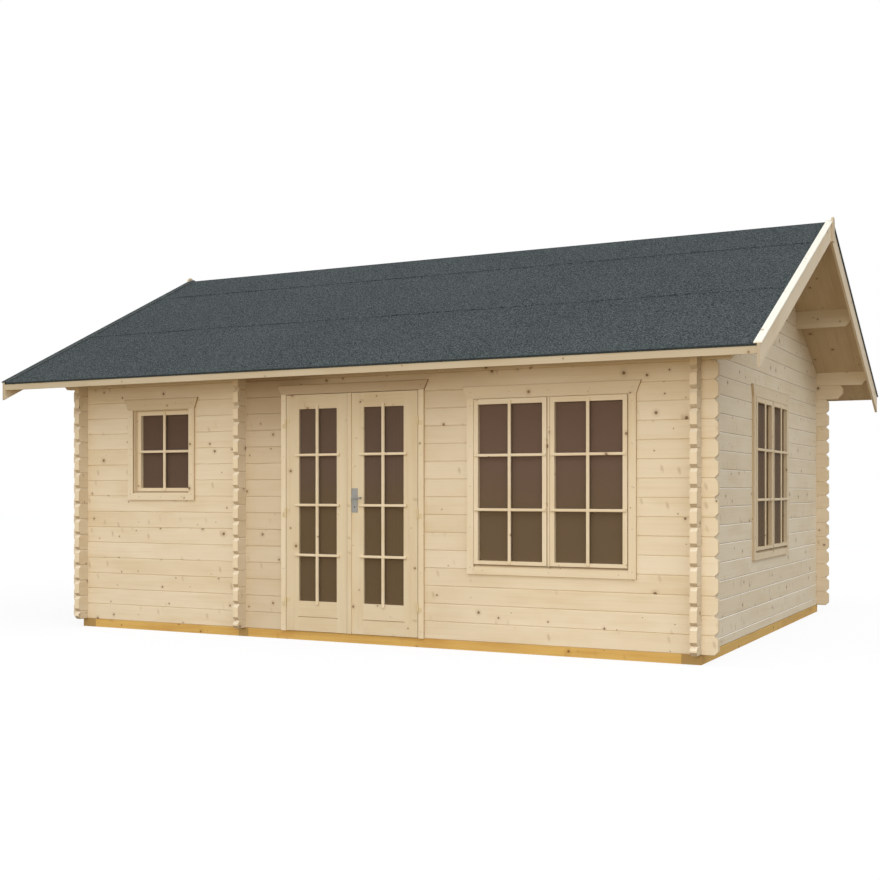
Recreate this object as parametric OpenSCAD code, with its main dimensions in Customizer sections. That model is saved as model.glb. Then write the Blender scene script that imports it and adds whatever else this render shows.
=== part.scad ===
// Summer cottage: a log cabin with a gabled felt roof, a glazed double door and three windows.
// The origin is the middle of the plan at ground level. +X runs along the ridge, -Y is the
// front with the door, and +Z is up. All sizes are in millimetres.

/* [Base] */
// Height of the impregnated bearers under the walls
bearer_h = 70; // [50:1:100]
// Depth of the front and back bearers
bearer_w = 95; // [80:1:120]
// Width of the cross bearers under the gables
cross_bearer_w = 140; // [100:1:160]
// Width of the cross bearer under the inner wall
mid_bearer_w = 95; // [80:1:120]
// Width of a floor joist
joist_w = 45; // [35:1:70]
// Largest distance from one joist to the next
joist_step = 700; // [400:10:900]
// Thickness of the floor boards
floor_t = 19; // [15:1:28]
// Gap between the floor and the walls
floor_gap = 6; // [2:1:12]

/* [Walls] */
// Length between the outer faces of the gable walls
cabin_l = 5550; // [5300:10:6000]
// Depth between the outer faces of the front and back walls
cabin_d = 4300; // [4000:10:4700]
// Thickness of a wall log
log_t = 50; // [44:1:56]
// Height of a wall log
log_h = 135; // [132:0.5:138]
// Number of logs in the front and back walls, with more where the door's head asks for them
wall_logs = 17; // [17:1:18]
// Length of a log end past the crossing wall's outer face
log_end = 115; // [80:1:150]
// Chamfer along the long edges of a log
log_chamfer = 5; // [3:0.5:8]
// Height of the two tongues along the top of a log
tongue_h = 8; // [6:0.5:10]
// Width of a tongue at its root
tongue_w = 9; // [7:0.5:10]
// Distance between the middles of the two tongues
tongue_step = 20; // [16:1:22]
// Slant of each side of a tongue
tongue_slant = 1.5; // [1:0.1:2]
// Corner cut at a log's end
end_chamfer = 27; // [10:1:30]
// Middle of the inner wall along the cabin
partition_x = -1050; // [-1200:10:-950]
// Middle of the doorway in the inner wall
inner_door_y = 0; // [-600:10:600]
// Width of the doorway in the inner wall
inner_door_w = 800; // [700:10:900]
// Height of the doorway in the inner wall over the floor
inner_door_h = 1900; // [1800:10:2000]

/* [Roof] */
// Slope of the roof in degrees
roof_pitch = 26; // [22:0.5:28]
// Thickness of the roof boards
deck_t = 18; // [15:1:24]
// Thickness of the roofing felt
felt_t = 4; // [3:0.5:6]
// Slope length of a felt course that shows
felt_course = 1138; // [1100:1:1200]
// Overlap of one felt course on the next
felt_lap = 80; // [50:5:120]
// Roof boards past the front and back walls
eave_overhang = 433; // [350:1:550]
// Roof boards past the gable walls
verge_overhang = 482; // [380:2:560]
// Depth that the top log is planed down for the roof boards
seat_drop = 8; // [0:1:15]
// Thickness of the fascia boards
fascia_t = 18; // [15:1:24]
// Height of the fascia along the front eave
fascia_h = 60; // [45:1:90]
// Height of the strip along the back eave
back_fascia_h = 22; // [20:1:90]
// Thickness of the bargeboards
bargeboard_t = 20; // [16:1:26]
// Width of the bargeboards
bargeboard_h = 137; // [100:1:150]
// Width of the laths along the verges
lath_w = 54; // [45:1:70]
// Thickness of the laths along the verges
lath_t = 8; // [6:1:22]
// Lath past the face of the bargeboard
lath_lip = 12; // [5:1:15]
// Width of the boards at the ridge ends
apex_w = 84; // [60:1:110]
// Height of the boards at the ridge ends
apex_h = 205; // [170:1:240]
// Thickness of the boards at the ridge ends
apex_t = 18; // [15:1:24]
// Width of a purlin
purlin_w = 50; // [40:1:70]
// Height of a purlin
purlin_h = 130; // [120:1:170]
// Place of a side purlin as a share of the way from the ridge to the wall
purlin_share = 0.543; // [0.4:0.001:0.6]
// Log end of the second log from the top, past the gable
lower_corbel = 250; // [150:10:340]
// Cut under the ends of the purlins and top logs
corbel_cut = 55; // [30:1:60]

/* [Door] */
// Middle of the doorway along the cabin
door_x = -16; // [-120:1:60]
// Width of the left leaf
left_leaf_w = 571; // [550:1:640]
// Width of the right leaf
right_leaf_w = 622; // [560:1:640]
// Height of the leaves
leaf_h = 1890; // [1850:5:1920]
// Thickness of the leaves
leaf_t = 40; // [36:1:44]
// Width of the leaf stiles on the hinge side
stile_w = 121; // [100:1:140]
// Width of the left leaf's meeting stile
left_meeting_w = 95; // [80:1:140]
// Width of the right leaf's meeting stile, which takes the lock
right_meeting_w = 146; // [130:1:160]
// Height of the leaf's top rail
top_rail_h = 114; // [80:1:140]
// Height of the leaf's bottom rail
bottom_rail_h = 240; // [180:1:280]
// Height of the lower plank of the bottom rail
kick_plank_h = 112; // [90:1:130]
// Width of the strip on the meeting edge
meeting_strip_w = 38; // [28:1:45]
// Thickness of the strip on the meeting edge
meeting_strip_t = 12; // [8:1:18]
// Width of the door frame's posts
jamb_w = 28; // [22:1:40]
// Depth of the stop behind the leaves
stop_w = 15; // [10:1:20]
// Width of the casing beside the door
door_casing_w = 46; // [42:1:60]
// Height of the casing over the door
door_head_h = 76; // [60:1:100]
// Radius of a hinge barrel
barrel_r = 7; // [6:0.5:8]
// Height of half a hinge barrel
barrel_h = 36; // [28:1:45]
// Radius of a hinge pin
hinge_pin_r = 3; // [2.5:0.1:3.5]
// Width of a hinge plate from the pin's axis
hinge_plate_w = 34; // [28:1:40]
// Thickness of a hinge plate
hinge_plate_t = 3; // [2:0.5:4]
// Middle of the top and bottom hinges from the leaf's ends
hinge_inset = 230; // [180:5:280]
// Width of the lock plate
plate_w = 53; // [38:1:54]
// Height of the lock plate
plate_h = 190; // [160:1:220]
// Lock plate below the handle's axis
plate_drop = 114; // [90:1:130]
// Thickness of the lock plate
plate_t = 4; // [3:0.5:6]
// Height of the handle over the bottom of the leaf
handle_z = 1066; // [950:1:1100]
// Handle's axis from the meeting edge of the right leaf
handle_inset = 66; // [66:1:80]
// Length of the lever
lever_l = 76; // [60:1:125]
// Radius of the lever
lever_r = 8; // [6:0.5:9]
// Reach of the spindle out from the lock plate
lever_stand = 45; // [38:1:55]
// Radius of the spindle
spindle_r = 8; // [6:0.5:9]
// Depth of the groove between the planks of the bottom rail
plank_groove = 5; // [3:0.5:8]

/* [Windows] */
// Width of the two wide windows inside the lining
wide_w = 1194; // [1000:2:1260]
// Height of the two wide windows inside the lining
wide_h = 1241; // [1100:1:1280]
// Middle of the front window along the cabin
wide_x = 1657; // [1560:1:1740]
// Bottom of the front window over the bearers
wide_z = 566; // [500:1:600]
// Middle of the gable window along the gable
side_y = 10; // [-200:10:200]
// Width of the small window inside the lining
small_w = 590; // [500:2:640]
// Height of the small window inside the lining
small_h = 705; // [600:1:740]
// Middle of the small window along the cabin
small_x = -1902; // [-1930:1:-1830]
// Bottom of the small window over the bearers
small_z = 1109; // [1000:1:1130]
// Width of the casing boards
casing_w = 56; // [50:1:70]
// Thickness of the casing boards
casing_t = 20; // [16:1:24]
// Height of the casing over a window
head_h = 95; // [70:1:100]
// Slant at each end of a head casing
head_slant = 36; // [15:1:45]
// Thickness of the lining round a window
lining_t = 25; // [18:1:32]
// Width of the sash stiles
sash_w = 34; // [28:1:60]
// Height of a sash's top rail
sash_top = 38; // [28:1:60]
// Height of a sash's bottom rail
sash_bottom = 27; // [22:1:60]
// Thickness of a sash
sash_t = 42; // [36:1:48]
// Wide window's sashes past the face of the casing
sash_proud = 6; // [2:1:12]
// Set-back of the small window's sash from the wall's face
small_sash_back = 42; // [20:1:46]
// Glass behind the face of its sash
pane_back = 30; // [20:1:34]
// Sill under a sash
sash_foot = 15; // [10:1:20]
// Open joint between the lining and the casing's edge
sash_gap = 5; // [2:1:8]
// Width of the post between two sashes
mullion_w = 27; // [24:1:44]
// Thickness of the glass
glass_t = 4; // [3:0.5:6]

/* [Clearances] */
// Air between pieces that stand or lie against each other
seam = 0.4; // [0.2:0.1:0.6]
// Air round a moving leaf
leaf_gap = 5; // [5:0.5:8]
// Air round a hinge pin and the handle's spindle
pin_gap = 0.1; // [0.06:0.01:0.15]
// Air between a hinge barrel and the leaf's face
barrel_gap = 1.5; // [1:0.1:2]
// Air round the spindle inside the leaf
spindle_gap = 2; // [1:0.5:3]
// Air round a pane of glass in its rebate
pane_gap = 0.3; // [0.2:0.1:0.5]

/* [Hidden] */
$fn = 48;

pine = "BurlyWood";
pale_pine = "Wheat";
bearer_tint = "Goldenrod";
felt_tint = "DimGray";
glass_tint = [0.40, 0.33, 0.28, 0.5];
steel = "Silver";

// Plan and heights of the walls
half_l = cabin_l / 2;
half_d = cabin_d / 2;
front_y = -half_d;
inner_half_d = half_d - log_t;
wall_bottom = bearer_h;
leaf_bottom = wall_bottom + leaf_gap;
leaf_top = leaf_bottom + leaf_h;
doorway_top = leaf_top + leaf_gap;
door_logs = ceil((doorway_top + door_head_h - wall_bottom) / log_h);
log_rows = max(wall_logs, door_logs + 1);
wall_top = wall_bottom + log_rows * log_h;
half_log = log_h / 2;
notch = log_h / 4;
gable_x = half_l - log_t / 2;
wall_y = half_d - log_t / 2;
store_side_x = partition_x - log_t / 2;
main_side_x = partition_x + log_t / 2;
floor_top = bearer_h + floor_t;
reach = cabin_l + cabin_d;

// Slope of the roof: a point u up the slope from the deck's eave end and w out from the boards' underside
rise = tan(roof_pitch);
plumb = 1 / cos(roof_pitch);
eave_y = half_d + eave_overhang;
function under_z(y) = wall_top - seat_drop + (inner_half_d - abs(y)) * rise;
function over_z(y, w) = under_z(y) + w * plumb;
function slope_point(u, w) = [-eave_y + u / plumb, over_z(-eave_y + u / plumb, w)];
roof_half_l = half_l + verge_overhang;
felt_top = deck_t + 2 * felt_t + seam;
lath_top = felt_top + lath_t;
purlin_y = inner_half_d * purlin_share;
purlin_end = roof_half_l - seam;
ridge_z = under_z(0);

// Doorway, leaves and hinge axes
doorway_clear = left_leaf_w + right_leaf_w + 3 * leaf_gap;
doorway_left = door_x - doorway_clear / 2;
doorway_right = door_x + doorway_clear / 2;
leaf_face = front_y - casing_t;
leaf_back = leaf_face + leaf_t;
stop_y = leaf_back + leaf_gap;
jamb_back = front_y + log_t + casing_t;
left_leaf_x = doorway_left + leaf_gap;
right_leaf_x = doorway_right - leaf_gap;
meeting_x = left_leaf_x + left_leaf_w;
barrel_stand = barrel_r + barrel_gap;
hinge_y = leaf_face - barrel_stand;
left_hinge_x = doorway_left + leaf_gap / 2;
right_hinge_x = doorway_right - leaf_gap / 2;
hinge_heights = [hinge_inset, leaf_h / 2, leaf_h - hinge_inset];
lock_edge_x = meeting_x + leaf_gap;
handle_x = lock_edge_x + handle_inset;
handle_height = leaf_bottom + handle_z;

// Faces of the sashes
wide_sash_y = leaf_face - sash_proud;
small_sash_y = front_y + small_sash_back;

// A box from one corner to the opposite one
module block(low, high) {
    translate(low) cube(high - low);
}

// A shape drawn across the cabin, in Y and Z, carried along X from one place to another
module carry_x(from, to) {
    translate([from, 0, 0]) rotate([90, 0, 90]) linear_extrude(to - from) children();
}

// A shape drawn on the front, in X and Z, carried back along Y from one place to another
module carry_y(from, to) {
    translate([0, to, 0]) rotate([90, 0, 0]) linear_extrude(to - from) children();
}

// Side view of a log: cut corners at its ends and a notch below and above at each crossing wall.
// h is the log's shoulder, and the tongues stand rise_h over it
function notch_below(c, w, low) = low > 0 ? [[c - w, 0], [c - w, low], [c + w, low], [c + w, 0]] : [];
function notch_above(c, w, bed, top) = bed < top ? [[c + w, top], [c + w, bed], [c - w, bed], [c - w, top]] : [];
function log_outline(s0, s1, h, rise_h, crossings, low, high, tip) =
    let (w = log_t / 2 + seam, top = h + rise_h, cut = end_chamfer + rise_h, last = len(crossings) - 1)
    concat(
        [[s0, tip], [s0 + tip, 0]],
        [for (c = crossings) each notch_below(c, w, low)],
        [[s1 - tip, 0], [s1, tip], [s1, top - cut], [s1 - cut, top]],
        [for (i = [last:-1:0]) each notch_above(crossings[i], w, h - high, top)],
        [[s0 + cut, top], [s0, top - cut]]);

// End view of a log: a plank on edge with chamfered edges, two tongues on top and two grooves below
tongue_places = [log_t / 2 - tongue_step / 2, log_t / 2 + tongue_step / 2];
function tongue(y, base, w, rise_h) = [[y - w / 2, base], [y - w / 2 + tongue_slant, base + rise_h],
    [y + w / 2 - tongue_slant, base + rise_h], [y + w / 2, base]];
function log_section(h, grooved, tongued) = let (c = log_chamfer) concat(
    [[c, 0]],
    grooved ? [for (y = tongue_places) each tongue(y, 0, tongue_w + 2 * seam, tongue_h + seam)] : [],
    [[log_t - c, 0], [log_t, c], [log_t, h - c], [log_t - c, h]],
    tongued ? [for (i = [1, 0], j = [3:-1:0]) tongue(tongue_places[i], h, tongue_w, tongue_h)[j]] : [],
    [[c, h], [0, h - c], [0, c]]);

// One log along X, from s0 to s1, with its outer face at Y 0 and its underside at Z 0
module wall_log(s0, s1, h, crossings, low, high, grooved, tongued, tip = end_chamfer) {
    shoulder = h - seam;
    intersection() {
        carry_y(0, log_t)
            polygon(log_outline(s0, s1, shoulder, tongued ? tongue_h : 0, crossings, low, high, tip));
        carry_x(s0 - log_t, s1 + log_t) polygon(log_section(shoulder, grooved, tongued));
    }
}

// The space under the roof boards, with a seam below them
module under_roof() {
    carry_x(-reach, reach) polygon([[-reach, -reach], [reach, -reach], [reach, over_z(reach, -seam)],
        [0, over_z(0, -seam)], [-reach, over_z(reach, -seam)]]);
}

// Logs first to last of the front or back wall, as long as their place in the wall asks
module long_wall_logs(first, last) {
    crossings = [-gable_x, partition_x, gable_x];
    for (k = [first:last]) {
        top_log = k == log_rows;
        corbel = k >= log_rows - 1;
        past = top_log ? verge_overhang - seam : corbel ? lower_corbel : log_end;
        tip = corbel ? corbel_cut : end_chamfer;
        low = notch + seam / 2;
        high = top_log ? 0 : notch - seam / 2;
        translate([0, front_y, wall_bottom + (k - 1) * log_h])
            wall_log(-half_l - past, half_l + past, log_h, crossings, low, high, k > 1, !top_log, tip);
    }
}

// Room for a window's lining in the logs: x, bottom, width and height inside the casing
module window_cut(x, z, w, h) {
    block([x - w / 2 - lining_t, front_y - log_t, z - lining_t],
        [x + w / 2 + lining_t, front_y + 2 * log_t, z + h + lining_t]);
}

// Room for the door frame in the logs
module doorway_cut() {
    block([doorway_left - jamb_w, front_y - log_t, 0],
        [doorway_right + jamb_w, front_y + 2 * log_t, doorway_top + jamb_w]);
}

module front_openings() {
    doorway_cut();
    window_cut(wide_x, wall_bottom + wide_z, wide_w, wide_h);
    window_cut(small_x, wall_bottom + small_z, small_w, small_h);
}

head_first = floor((doorway_top - wall_bottom) / log_h) + 1;

// The front wall's logs up to the door's head, left or right of the doorway
module front_wall_side(from, to) {
    color(pine) difference() {
        intersection() {
            long_wall_logs(1, head_first - 1);
            block([from, -reach, 0], [to, 0, reach]);
        }
        front_openings();
    }
}

module front_wall_left() {
    front_wall_side(-reach, door_x);
}

module front_wall_right() {
    front_wall_side(door_x, reach);
}

module front_wall_head() {
    color(pine) difference() {
        intersection() {
            long_wall_logs(head_first, log_rows);
            under_roof();
        }
        front_openings();
    }
}

module back_wall() {
    color(pine) rotate([0, 0, 180]) mirror([1, 0, 0]) intersection() {
        long_wall_logs(1, log_rows);
        under_roof();
    }
}

// Logs of a wall that runs across the cabin, half a log out of step with the long walls
module cross_wall_logs(x, last) {
    crossings = [-wall_y, wall_y];
    high = notch - seam / 2;
    translate([x + log_t / 2, 0, wall_bottom]) rotate([0, 0, 90]) {
        wall_log(-half_d - log_end, half_d + log_end, half_log, crossings, 0, high, false, true);
        for (k = [1:last]) {
            over_wall = k >= log_rows;
            end_y = over_wall ? inner_half_d - seam : half_d + log_end;
            translate([0, 0, half_log + (k - 1) * log_h])
                wall_log(-end_y, end_y, log_h, over_wall ? [] : crossings, notch + seam / 2, high, true, k < last);
        }
    }
}

gable_logs = ceil((ridge_z - wall_bottom - half_log) / log_h);

// Pockets for the purlins in the gable logs
module purlin_pockets() {
    for (y = [-purlin_y, 0, purlin_y])
        block([-reach, y - purlin_w / 2 - seam, purlin_bottom(y) - seam],
            [reach, y + purlin_w / 2 + seam, reach]);
}

module gable(x) {
    difference() {
        intersection() {
            cross_wall_logs(x, gable_logs);
            under_roof();
        }
        purlin_pockets();
    }
}

module left_gable() {
    color(pine) gable(-gable_x);
}

side_z = wall_bottom + wide_z + half_log;

// Turns a piece drawn for the front wall onto the right gable
module on_right_gable() {
    translate([half_l, side_y, 0]) rotate([0, 0, 90]) translate([0, half_d, 0]) children();
}

module right_gable() {
    color(pine) difference() {
        gable(gable_x);
        on_right_gable() window_cut(0, side_z, wide_w, wide_h);
    }
}

module partition_wall() {
    color(pine) difference() {
        intersection() {
            cross_wall_logs(partition_x, log_rows - 1);
            under_roof();
        }
        block([partition_x - log_t, inner_door_y - inner_door_w / 2, wall_bottom - log_t],
            [partition_x + log_t, inner_door_y + inner_door_w / 2, floor_top + inner_door_h]);
    }
}

// Impregnated bearers: the front ones fit between the cross bearers
module long_bearers() {
    edges = [-half_l + cross_bearer_w, partition_x - mid_bearer_w / 2,
        partition_x + mid_bearer_w / 2, half_l - cross_bearer_w];
    for (i = [0, 2])
        block([edges[i] + seam, front_y, 0], [edges[i + 1] - seam, front_y + bearer_w, bearer_h]);
}

module front_bearers() {
    color(bearer_tint) long_bearers();
}

module back_bearers() {
    color(bearer_tint) mirror([0, 1, 0]) long_bearers();
}

module cross_bearers() {
    color(bearer_tint) {
        block([-half_l, -half_d, 0], [-half_l + cross_bearer_w, half_d, bearer_h]);
        block([partition_x - mid_bearer_w / 2, -half_d, 0], [partition_x + mid_bearer_w / 2, half_d, bearer_h]);
        block([half_l - cross_bearer_w, -half_d, 0], [half_l, half_d, bearer_h]);
    }
}

// Joists from front to back bearer, evenly spaced between two cross bearers
module joists_between(from, to) {
    bays = ceil((to - from) / joist_step);
    for (i = [1:bays - 1]) {
        x = from + (to - from) * i / bays;
        block([x - joist_w / 2, front_y + bearer_w + seam, 0], [x + joist_w / 2, half_d - bearer_w - seam, bearer_h]);
    }
}

module floor_joists() {
    color(bearer_tint) {
        joists_between(-half_l + cross_bearer_w, partition_x - mid_bearer_w / 2);
        joists_between(partition_x + mid_bearer_w / 2, half_l - cross_bearer_w);
    }
}

module floor_panel(from, to) {
    color(pale_pine) block([from + floor_gap, -inner_half_d + floor_gap, bearer_h],
        [to - floor_gap, inner_half_d - floor_gap, floor_top]);
}

// The main floor stops behind the door frame and runs through the inner doorway
module main_floor() {
    difference() {
        floor_panel(main_side_x, half_l - log_t);
        block([doorway_left - jamb_w - seam, front_y, 0], [doorway_right + jamb_w + seam, jamb_back + seam, reach]);
    }
    color(pale_pine)
        block([store_side_x - floor_gap + seam, inner_door_y - inner_door_w / 2 + floor_gap, bearer_h],
            [main_side_x + floor_gap, inner_door_y + inner_door_w / 2 - floor_gap, floor_top]);
}

module store_floor() {
    floor_panel(-half_l + log_t, store_side_x);
}

// A purlin on edge, bevelled to the roof boards and cut back under its ends
function purlin_bottom(y) = under_z(abs(y) + purlin_w / 2) - purlin_h;

module purlin(y) {
    color(pine) intersection() {
        under_roof();
        carry_y(y - purlin_w / 2, y + purlin_w / 2) polygon([
            [-purlin_end + corbel_cut, purlin_bottom(y)], [purlin_end - corbel_cut, purlin_bottom(y)],
            [purlin_end, purlin_bottom(y) + corbel_cut], [purlin_end, ridge_z + purlin_h],
            [-purlin_end, ridge_z + purlin_h], [-purlin_end, purlin_bottom(y) + corbel_cut]]);
    }
}

module ridge_purlin() {
    purlin(0);
}

module front_purlin() {
    purlin(-purlin_y);
}

module back_purlin() {
    purlin(purlin_y);
}

// One slope of roof boards, plumb cut at the eave and the ridge
module deck() {
    color(pale_pine) carry_x(-roof_half_l, roof_half_l) polygon([
        [-eave_y, over_z(eave_y, 0)], [-seam / 2, over_z(seam / 2, 0)],
        [-seam / 2, over_z(seam / 2, deck_t)], [-eave_y, over_z(eave_y, deck_t)]]);
}

module front_roof_deck() {
    deck();
}

module back_roof_deck() {
    mirror([0, 1, 0]) deck();
}

// Felt courses in slope places: a course starts on top of the one below it and drops to the boards behind it
drip_y = eave_y + fascia_t + seam;
drip_h = 10;
ramp = 12;
felt_low = deck_t + seam / 2;
felt_high = felt_low + felt_t + seam / 2;
first_top = felt_course + felt_lap;
second_top = 2 * felt_course + felt_lap;

module slope_felt() {
    drip_z = over_z(drip_y, felt_low);
    first = [[-drip_y, drip_z - drip_h], [-drip_y, drip_z], slope_point(first_top, felt_low),
        slope_point(first_top, felt_low + felt_t), [-drip_y - felt_t, over_z(drip_y + felt_t, felt_low + felt_t)],
        [-drip_y - felt_t, drip_z - drip_h]];
    second = concat(joggle(felt_course, 0), [slope_point(second_top, felt_low)],
        [slope_point(second_top, felt_low + felt_t)], joggle_back(felt_course, felt_t));
    color(felt_tint) carry_x(-roof_half_l, roof_half_l) {
        polygon(first);
        polygon(second);
    }
}

function joggle(u, w) = [slope_point(u, felt_high + w), slope_point(u + felt_lap + ramp, felt_high + w),
    slope_point(u + felt_lap + 2 * ramp, felt_low + w)];
function joggle_back(u, w) = let (p = joggle(u, w)) [p[2], p[1], p[0]];
function to_back(points) = [for (i = [len(points) - 1:-1:0]) [-points[i][0], points[i][1]]];

module front_felt() {
    slope_felt();
}

module back_felt() {
    mirror([0, 1, 0]) slope_felt();
}

// The last course lies over the ridge
module ridge_felt() {
    lower = joggle(2 * felt_course, 0);
    upper = joggle(2 * felt_course, felt_t);
    outline = concat(lower, [[0, over_z(0, felt_low)]], to_back(lower),
        [for (p = upper) [-p[0], p[1]]], [[0, over_z(0, felt_low + felt_t)]], [upper[2], upper[1], upper[0]]);
    color(felt_tint) carry_x(-roof_half_l, roof_half_l) polygon(outline);
}

module fascia(h) {
    top = over_z(eave_y + fascia_t, deck_t);
    color(pale_pine) block([-roof_half_l, -eave_y - fascia_t, top - h], [roof_half_l, -eave_y, top]);
}

module front_fascia() {
    fascia(fascia_h);
}

module back_fascia() {
    mirror([0, 1, 0]) fascia(back_fascia_h);
}

// A board along one verge, from w0 to w1 out from the roof boards' underside, plumb cut at both ends
verge_end = drip_y + 2 * felt_t;
module verge_board(from, to, w0, w1) {
    carry_x(from, to) polygon([[-verge_end, over_z(verge_end, w0)], [-seam / 2, over_z(seam / 2, w0)],
        [-seam / 2, over_z(seam / 2, w1)], [-verge_end, over_z(verge_end, w1)]]);
}

board_face = roof_half_l + seam + bargeboard_t;

module right_bargeboards() {
    color(pale_pine) for (back = [0, 1]) mirror([0, back, 0])
        verge_board(roof_half_l + seam, board_face, felt_top - bargeboard_h, felt_top);
}

module left_bargeboards() {
    mirror([1, 0, 0]) right_bargeboards();
}

// Laths over the edge of the felt and the bargeboard, cut round the apex board
module right_verge_laths() {
    color(pale_pine) for (back = [0, 1]) mirror([0, back, 0]) difference() {
        verge_board(board_face + lath_lip - lath_w, board_face + lath_lip, felt_top, lath_top);
        block([board_face - seam, -apex_w / 2 - seam, 0], [board_face + reach, apex_w, reach]);
    }
}

module left_verge_laths() {
    mirror([1, 0, 0]) right_verge_laths();
}

// A board with a round head over the joint of the bargeboards
module apex_board() {
    top = over_z(0, lath_top) + apex_w / 4;
    translate([board_face, 0, 0]) {
        block([0, -apex_w / 2, top - apex_h], [apex_t, apex_w / 2, top - apex_w / 2]);
        translate([0, 0, top - apex_w / 2]) rotate([0, 90, 0]) cylinder(r = apex_w / 2, h = apex_t);
    }
}

module apex_boards() {
    color(pale_pine) {
        apex_board();
        mirror([1, 0, 0]) apex_board();
    }
}

// A head casing board: wider along its top than along its bottom edge
module head_casing(x, z, w, h) {
    carry_y(front_y - casing_t, front_y) polygon([[x - w / 2, z], [x + w / 2, z],
        [x + w / 2 + head_slant, z + h], [x - w / 2 - head_slant, z + h]]);
}

// Casing boards round a window's lining: the bottom board stands between the side boards
module window_casing(x, z, w, h) {
    half_w = w / 2 + sash_gap;
    bottom = z - sash_gap;
    top = z + h + sash_gap;
    color(pale_pine) {
        for (edge = [x - half_w - casing_w, x + half_w])
            block([edge, front_y - casing_t, bottom - casing_w], [edge + casing_w, front_y, top - seam]);
        block([x - half_w + seam, front_y - casing_t, bottom - casing_w], [x + half_w - seam, front_y, bottom]);
        head_casing(x, top, 2 * (half_w + casing_w), head_h);
    }
}

function light_w(w, sashes) = (w - (sashes - 1) * mullion_w) / sashes;
function light_x(x, w, sashes, i) = x - w / 2 + light_w(w, sashes) / 2 + i * (light_w(w, sashes) + mullion_w);

// Lining board box with its post, and the sashes that sit in it with their faces at sash_y
module window_frame(x, z, w, h, sashes, sash_y) {
    lw = light_w(w, sashes);
    back = max(jamb_back, sash_y + sash_t);
    color(pale_pine) {
        difference() {
            union() {
                block([x - w / 2 - lining_t + seam, front_y, z - lining_t + seam],
                    [x + w / 2 + lining_t - seam, back, z + h + lining_t - seam]);
                if (sashes > 1)
                    block([x - mullion_w / 2 + sash_gap, front_y - casing_t, z],
                        [x + mullion_w / 2 - sash_gap, front_y + seam, z + h]);
            }
            for (i = [0:sashes - 1])
                block([light_x(x, w, sashes, i) - lw / 2, front_y - log_t, z + sash_foot],
                    [light_x(x, w, sashes, i) + lw / 2, back + log_t, z + h]);
        }
        for (i = [0:sashes - 1]) translate([light_x(x, w, sashes, i), sash_y, z + sash_foot]) difference() {
            block([-lw / 2 + seam, 0, seam], [lw / 2 - seam, sash_t, h - sash_foot - seam]);
            block([-lw / 2 + sash_w, -sash_t, sash_bottom],
                [lw / 2 - sash_w, 2 * sash_t, h - sash_foot - sash_top]);
        }
    }
}

module window_glass(x, z, w, h, sashes, sash_y) {
    lw = light_w(w, sashes);
    color(glass_tint) for (i = [0:sashes - 1])
        translate([light_x(x, w, sashes, i), sash_y + pane_back, z + sash_foot])
            block([-lw / 2 + sash_w + pane_gap, 0, sash_bottom + pane_gap],
                [lw / 2 - sash_w - pane_gap, glass_t, h - sash_foot - sash_top - pane_gap]);
}

module front_window() {
    window_frame(wide_x, wall_bottom + wide_z, wide_w, wide_h, 2, wide_sash_y);
}

module front_window_glass() {
    window_glass(wide_x, wall_bottom + wide_z, wide_w, wide_h, 2, wide_sash_y);
}

module front_window_casing() {
    window_casing(wide_x, wall_bottom + wide_z, wide_w, wide_h);
}

module small_window() {
    window_frame(small_x, wall_bottom + small_z, small_w, small_h, 1, small_sash_y);
}

module small_window_glass() {
    window_glass(small_x, wall_bottom + small_z, small_w, small_h, 1, small_sash_y);
}

module small_window_casing() {
    window_casing(small_x, wall_bottom + small_z, small_w, small_h);
}

module side_window() {
    on_right_gable() window_frame(0, side_z, wide_w, wide_h, 2, wide_sash_y);
}

module side_window_glass() {
    on_right_gable() window_glass(0, side_z, wide_w, wide_h, 2, wide_sash_y);
}

module side_window_casing() {
    on_right_gable() window_casing(0, side_z, wide_w, wide_h);
}

// Posts, head and threshold of the door frame, with a stop behind the leaves
module jamb(x) {
    linear_extrude(doorway_top - wall_bottom - seam) polygon([
        [x - jamb_w + seam, front_y], [x, front_y], [x, stop_y], [x + stop_w, stop_y],
        [x + stop_w, jamb_back], [x - jamb_w + seam, jamb_back]]);
}

module door_frame() {
    inside_w = doorway_clear - 2 * stop_w - 2 * seam;
    color(pale_pine) {
        translate([0, 0, wall_bottom]) {
            jamb(doorway_left);
            translate([2 * door_x, 0, 0]) mirror([1, 0, 0]) jamb(doorway_left);
        }
        translate([door_x, 0, 0]) {
            carry_x(-doorway_clear / 2 - jamb_w + seam, doorway_clear / 2 + jamb_w - seam) polygon([
                [front_y, doorway_top], [jamb_back, doorway_top], [jamb_back, doorway_top + jamb_w - seam],
                [front_y, doorway_top + jamb_w - seam]]);
            block([-inside_w / 2, stop_y, doorway_top - stop_w], [inside_w / 2, jamb_back, doorway_top - seam]);
            block([-inside_w / 2, stop_y, wall_bottom], [inside_w / 2, jamb_back, floor_top + leaf_gap]);
        }
    }
}

module door_casing() {
    color(pale_pine) {
        for (x = [doorway_left - door_casing_w, doorway_right])
            block([x, front_y - casing_t, wall_bottom], [x + door_casing_w, front_y, doorway_top - seam]);
        head_casing(door_x, doorway_top, doorway_clear + 2 * door_casing_w, door_head_h);
    }
}

// A framed leaf from x0 to x1, with an opening for its glass from g0 to g1 and a groove between the planks
// of its bottom rail
module leaf(x0, x1, g0, g1) {
    difference() {
        block([x0, leaf_face, leaf_bottom], [x1, leaf_back, leaf_top]);
        block([g0, leaf_face - leaf_t, leaf_bottom + bottom_rail_h], [g1, leaf_back + leaf_t, leaf_top - top_rail_h]);
        carry_x(g0, g1) polygon([
            [leaf_face - plank_groove, leaf_bottom + kick_plank_h - 2 * plank_groove],
            [leaf_face + plank_groove, leaf_bottom + kick_plank_h],
            [leaf_face - plank_groove, leaf_bottom + kick_plank_h + 2 * plank_groove]]);
    }
}

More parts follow.
